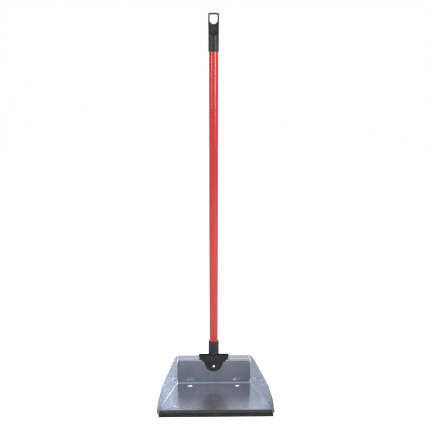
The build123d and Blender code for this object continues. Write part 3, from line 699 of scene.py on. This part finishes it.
def pan_flap(sheet, wall):
    """The back wall's free end: out to the corner, and round it as a flap lapped on the side."""
    hand = wall.hand
    start_x = BACK_HALF - FOLD / cos(SPLAY) + FOLD * tan(SPLAY)
    pick(sheet, lambda co: co.y > -NEAR and co.z > FOLD - NEAR
         and abs(co.x * hand - start_x) < NEAR)
    edge_x = BACK_HALF - SEAM
    draw_out([((edge_x - start_x) * hand, 0, 0)])
    for co in places(sheet, lambda co: abs(co.x * hand - edge_x) < NEAR and co.y > NEAR):
        pick(sheet, lambda other: (other - co).length < NEAR)
        move((-co.y * tan(SPLAY) * hand, 0, 0))
    pick(sheet, lambda co: abs(co.x * hand - edge_x) < NEAR and abs(co.y) < NEAR
         and FLAP_LOW - NEAR < co.z < FLAP_HIGH + NEAR)
    gap, radius, turn = SHEET + HEM_GAP, SHEET * 0.6, 90 - degrees(SPLAY)
    tangent = radius * tan(radians(turn / 2))
    draw_out([((SEAM + gap / cos(SPLAY) - tangent) * hand, 0, 0)])
    draw_out([(a * hand, -b, 0) for a, b in around(radius, turn, 4)])
    reached = gap * tan(SPLAY) + tangent
    stops = [reached, FLAP_REACH * 0.4, FLAP_REACH - FLAP_CORNER, FLAP_REACH]
    draw_out([tuple(wall.ahead * (b - a)) for a, b in zip(stops, stops[1:])])
    for height, shift in ((FLAP_LOW, FLAP_CORNER), (FLAP_HIGH, -FLAP_CORNER)):
        pick(sheet, lambda co: abs(wall.outward(co) - gap) < NEAR and abs(co.z - height) < NEAR
             and wall.along(co) > FLAP_REACH - NEAR)
        move((0, 0, shift))


def pan_corner(sheet, wall):
    """Close the small rounded corner where the two folds meet."""
    mesh = bmesh.from_edit_mesh(sheet.data)
    bpy.ops.mesh.select_mode(type="EDGE")
    for edge in mesh.edges:
        edge.select = edge.is_boundary and all(
            v.co.z < FOLD + NEAR and (v.co - wall.corner).length < 2 * FOLD for v in edge.verts)
    bmesh.update_edit_mesh(sheet.data)
    bpy.ops.mesh.edge_face_add()
    bpy.ops.mesh.select_mode(type="VERT")


def foot_depth(radius):
    """Depth of the pressed dish at a distance from its middle, with a soft rim."""
    floor_of_dish = FOOT_SPHERE - FOOT_DEPTH - (FOOT_SPHERE ** 2 - radius ** 2) ** 0.5
    softness = 0.33 * MM
    return softness * log(1 + exp(-floor_of_dish / softness))


def pan_foot(sheet, hand):
    """Cut the floor open round a foot, press a round dish from a ring and join it in."""
    middle = Vector((FOOT_X * hand, -FOOT_BACK, 0))
    mesh = bmesh.from_edit_mesh(sheet.data)
    bpy.ops.mesh.select_mode(type="FACE")
    for face in mesh.faces:
        face.select = min((v.co - middle).length for v in face.verts) < FOOT_PATCH
    bmesh.update_edit_mesh(sheet.data)
    bpy.ops.mesh.delete(type="FACE")
    bpy.ops.mesh.select_all(action="DESELECT")
    bpy.ops.mesh.select_mode(type="VERT")
    bpy.ops.mesh.primitive_circle_add(vertices=40, radius=FOOT_RINGS[0] * FOOT_RIM,
                                      location=middle)
    depth = 0.0
    for outer, inner in zip(FOOT_RINGS, FOOT_RINGS[1:]):
        bpy.ops.mesh.extrude_edges_move(TRANSFORM_OT_translate={"value": (0, 0, 0)})
        scale((inner / outer, inner / outer, 1), tuple(middle - Vector((0, 0, depth))))
        move((0, 0, depth - foot_depth(inner * FOOT_RIM)))
        depth = foot_depth(inner * FOOT_RIM)
    bpy.ops.mesh.edge_face_add()
    bpy.ops.mesh.poke()
    mesh = bmesh.from_edit_mesh(sheet.data)
    bpy.ops.mesh.select_all(action="DESELECT")
    bpy.ops.mesh.select_mode(type="EDGE")
    for edge in mesh.edges:
        edge.select = edge.is_boundary and all(
            abs(v.co.z) < NEAR and (v.co - middle).length < 3 * FOOT_PATCH for v in edge.verts)
    bmesh.update_edit_mesh(sheet.data)
    bpy.ops.mesh.bridge_edge_loops()
    bpy.ops.mesh.select_mode(type="VERT")


def pan_notch(sheet):
    """Opening in the band that the bracket's block passes through."""
    mesh = bmesh.from_edit_mesh(sheet.data)
    bpy.ops.mesh.select_mode(type="FACE")
    for face in mesh.faces:
        middle = face.calc_center_median()
        face.select = (abs(middle.x) < NOTCH_HALF and middle.z > BEND_HEIGHT - FOLD
                       and middle.y > -FOLD)
    bmesh.update_edit_mesh(sheet.data)
    bpy.ops.mesh.delete(type="FACE")
    bpy.ops.mesh.select_mode(type="VERT")


def face_inward(sheet):
    """Turn all faces to the inside of the pan, so that thickness grows outward."""
    bpy.ops.mesh.select_all(action="SELECT")
    bpy.ops.mesh.normals_make_consistent(inside=False)
    mesh = bmesh.from_edit_mesh(sheet.data)
    mesh.faces.ensure_lookup_table()
    floor_face = min(mesh.faces, key=lambda face: (face.calc_center_median()
                                                   - Vector((0, -FLOOR_DEPTH / 2, 0))).length)
    if floor_face.normal.z < 0:
        bpy.ops.mesh.flip_normals()


def pan_waves(sheet):
    """Slight unevenness of the flat stretches, as in any thin sheet."""
    swell = bpy.data.textures.new("swell", "CLOUDS")
    swell.noise_scale, swell.noise_depth = SWELL_LENGTH, 1
    flat = sheet.vertex_groups.new(name="flat")
    keep = 6 * MM
    chosen = [v.index for v in sheet.data.vertices
              if (abs(v.co.z) < NEAR and -FLOOR_DEPTH + 3 * keep < v.co.y < -FOLD - keep
                  and (v.co - Vector((FOOT_X, -FOOT_BACK, 0))).length > 2 * FOOT_PATCH
                  and (v.co - Vector((-FOOT_X, -FOOT_BACK, 0))).length > 2 * FOOT_PATCH)
              or (abs(v.co.y) < NEAR and FOLD + keep < v.co.z < BEND_HEIGHT - keep
                  and NOTCH_HALF < abs(v.co.x) < BACK_HALF - 2 * FOLD)
              or (v.co.z > FOLD + keep and -FLOOR_DEPTH * 0.8 < v.co.y < -2 * FOLD)]
    flat.add(chosen, 1.0, "REPLACE")
    apply(sheet, "DISPLACE", texture=swell, texture_coords="LOCAL", strength=SWELL,
          mid_level=0.5, vertex_group="flat")


def pan():
    """The folded sheet: floor, back with band and hem, sides with ears, flaps and feet."""
    sheet = pan_floor()
    pan_back(sheet)
    for hand in (1, -1):
        wall = Wall(hand)
        pan_side(sheet, wall)
        pan_ear(sheet, wall)
        pan_flap(sheet, wall)
        pan_corner(sheet, wall)
        pan_foot(sheet, hand)
    pan_notch(sheet)
    face_inward(sheet)
    done(sheet)
    pan_waves(sheet)
    apply(sheet, "SOLIDIFY", thickness=SHEET, offset=-1.0, use_even_offset=True)
    apply(sheet, "BEVEL", width=RIM_EASE, segments=2, limit_method="ANGLE",
          angle_limit=radians(60))
    sheet.location = (0, BACK_FOLD, FLOOR_TOP)
    alone(sheet)
    bpy.ops.object.transform_apply(location=True, rotation=True, scale=True)
    smooth(sheet, 35)
    return sheet


# Handle and moulded pieces ----------------------------------------------------

TUBE_RADIUS = 11.0 * MM
TUBE_WALL = 0.6 * MM
TUBE_LENGTH = 792.0 * MM
TUBE_SIDES = 96
TUBE_LEAN = 4.5
SEAM_RIDGE = 0.06 * MM    # where the film laps itself, down the back
LIP_BREAK = 1.0 * MM      # in front of the sheet's edge, where the lip's top leaf ends and the painted shade of the front faces begins
SHIELD_FACE = BACK_FOLD - 4.0 * MM
LEDGE = FLOOR_TOP + 72.0 * MM     # top of the shield, which the crest stands on
SOCKET_HALF = 13.4 * MM


def on_rim_or_crest(middle, normal):
    """Faces of the bracket's raised rim, and of the crest on each side of its socket, which take a
    darker copy of the plastic as painted shade.
    """
    rim = abs(middle.y - SHIELD_FACE) < 0.1 * MM and normal.y < -0.9
    return rim or (middle.z > LEDGE + 0.1 * MM and abs(middle.x) > SOCKET_HALF)


def tube():
    """Open tube with a faint lapped seam in its film and eased rims."""
    low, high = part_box("handle_tube")
    middle = (Vector(low) + Vector(high)) / 2
    bpy.ops.object.select_all(action="DESELECT")
    bpy.ops.mesh.primitive_cylinder_add(vertices=TUBE_SIDES, radius=TUBE_RADIUS, location=middle,
                                        depth=TUBE_LENGTH, end_fill_type="NOTHING",
                                        rotation=(radians(TUBE_LEAN), 0, 0))
    bpy.ops.object.transform_apply(location=True, rotation=True, scale=True)
    handle = start("handle_tube_film")
    lean = radians(TUBE_LEAN)
    back = Vector((0, cos(lean), sin(lean)))
    step = radians(360 / TUBE_SIDES)
    pick(handle, lambda co: abs(co.x) < TUBE_RADIUS * sin(step * 1.5)
         and (co - middle).dot(back) > 0)
    move(tuple(back * SEAM_RIDGE))
    done(handle)
    apply(handle, "SOLIDIFY", thickness=TUBE_WALL, offset=-1.0, use_even_offset=True)
    apply(handle, "BEVEL", width=RIM_EASE, segments=2, limit_method="ANGLE",
          angle_limit=radians(60))
    smooth(handle, 30)
    return handle


def eased(node, name, width, angle):
    """Copy of a CAD node's mesh, merged into clean faces, with its edges eased."""
    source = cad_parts[node]
    piece = source.copy()
    piece.data = source.data.copy()
    piece.name = piece.data.name = name
    bpy.context.collection.objects.link(piece)
    piece.parent = None
    piece.matrix_world = source.matrix_world
    alone(piece)
    bpy.ops.object.transform_apply(location=True, rotation=True, scale=True)
    bpy.ops.mesh.customdata_custom_splitnormals_clear()
    bpy.ops.object.mode_set(mode="EDIT")
    bpy.ops.mesh.select_all(action="SELECT")
    bpy.ops.mesh.remove_doubles(threshold=0.000005)
    bpy.ops.mesh.dissolve_limited(angle_limit=radians(0.3))
    done(piece)
    apply(piece, "BEVEL", width=width, segments=2, limit_method="ANGLE",
          angle_limit=radians(angle))
    smooth(piece, 35)
    return piece


# Putting it together ----------------------------------------------------------

def keep_cad(name, material):
    finish_with(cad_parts[name], material)


def second_finish(piece, material, wanted):
    """Give a second material to the faces whose middle and normal pass the test."""
    piece.data.materials.append(material)
    for face in piece.data.polygons:
        if wanted(face.center, face.normal):
            face.material_index = 1


def fit(piece, node, body, material):
    """Finish a piece and let it stand for its CAD node."""
    finish_with(piece, material)
    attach(piece, body)
    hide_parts(node)


camera()
studio()
BLACK = black_plastic("black_plastic", (0.010, 0.010, 0.013), (0.018, 0.018, 0.021), 0.34, 0.4)
# Darker, smoother copy of the black plastic: painted shade on the bracket's rim and crest.
BLACK_PAINTED_SHADE = black_plastic("smooth_black_plastic_painted_shade", (0.003, 0.003, 0.004), (0.005, 0.005, 0.006), 0.22,
                     0.15)
STEEL = rivet_steel()
fit(pan(), "pan_sheet", "pan", galvanised())
lip = eased("rubber_lip", "lip", 0.25 * MM, 25)
fit(lip, "rubber_lip", "pan",
    lip_rubber("lip_rubber", (0.014, 0.0135, 0.016), (0.024, 0.023, 0.027), 0.3))
# Faces in front of the leaf get a darker, less shiny copy of the rubber: painted shade on the ramp
# and front face.
second_finish(lip, lip_rubber("lip_rubber_painted_shade", (0.004, 0.004, 0.005), (0.009, 0.009, 0.010),
                              0.12), lambda middle, normal: middle.y < FRONT_EDGE - LIP_BREAK)
bracket = eased("socket_bracket", "bracket", 0.2 * MM, 40)
fit(bracket, "socket_bracket", "pan", BLACK)
# Rim and crest take the darker copy: painted shade.
second_finish(bracket, BLACK_PAINTED_SHADE, on_rim_or_crest)
fit(tube(), "handle_tube", "handle", red_enamel())
fit(eased("hanging_cap", "cap", 0.3 * MM, 40), "hanging_cap", "handle", BLACK)
keep_cad("bracket_rivet", STEEL)
keep_cad("rivet_washer", STEEL)
keep_cad("tube_foot_plug", grey_plastic())
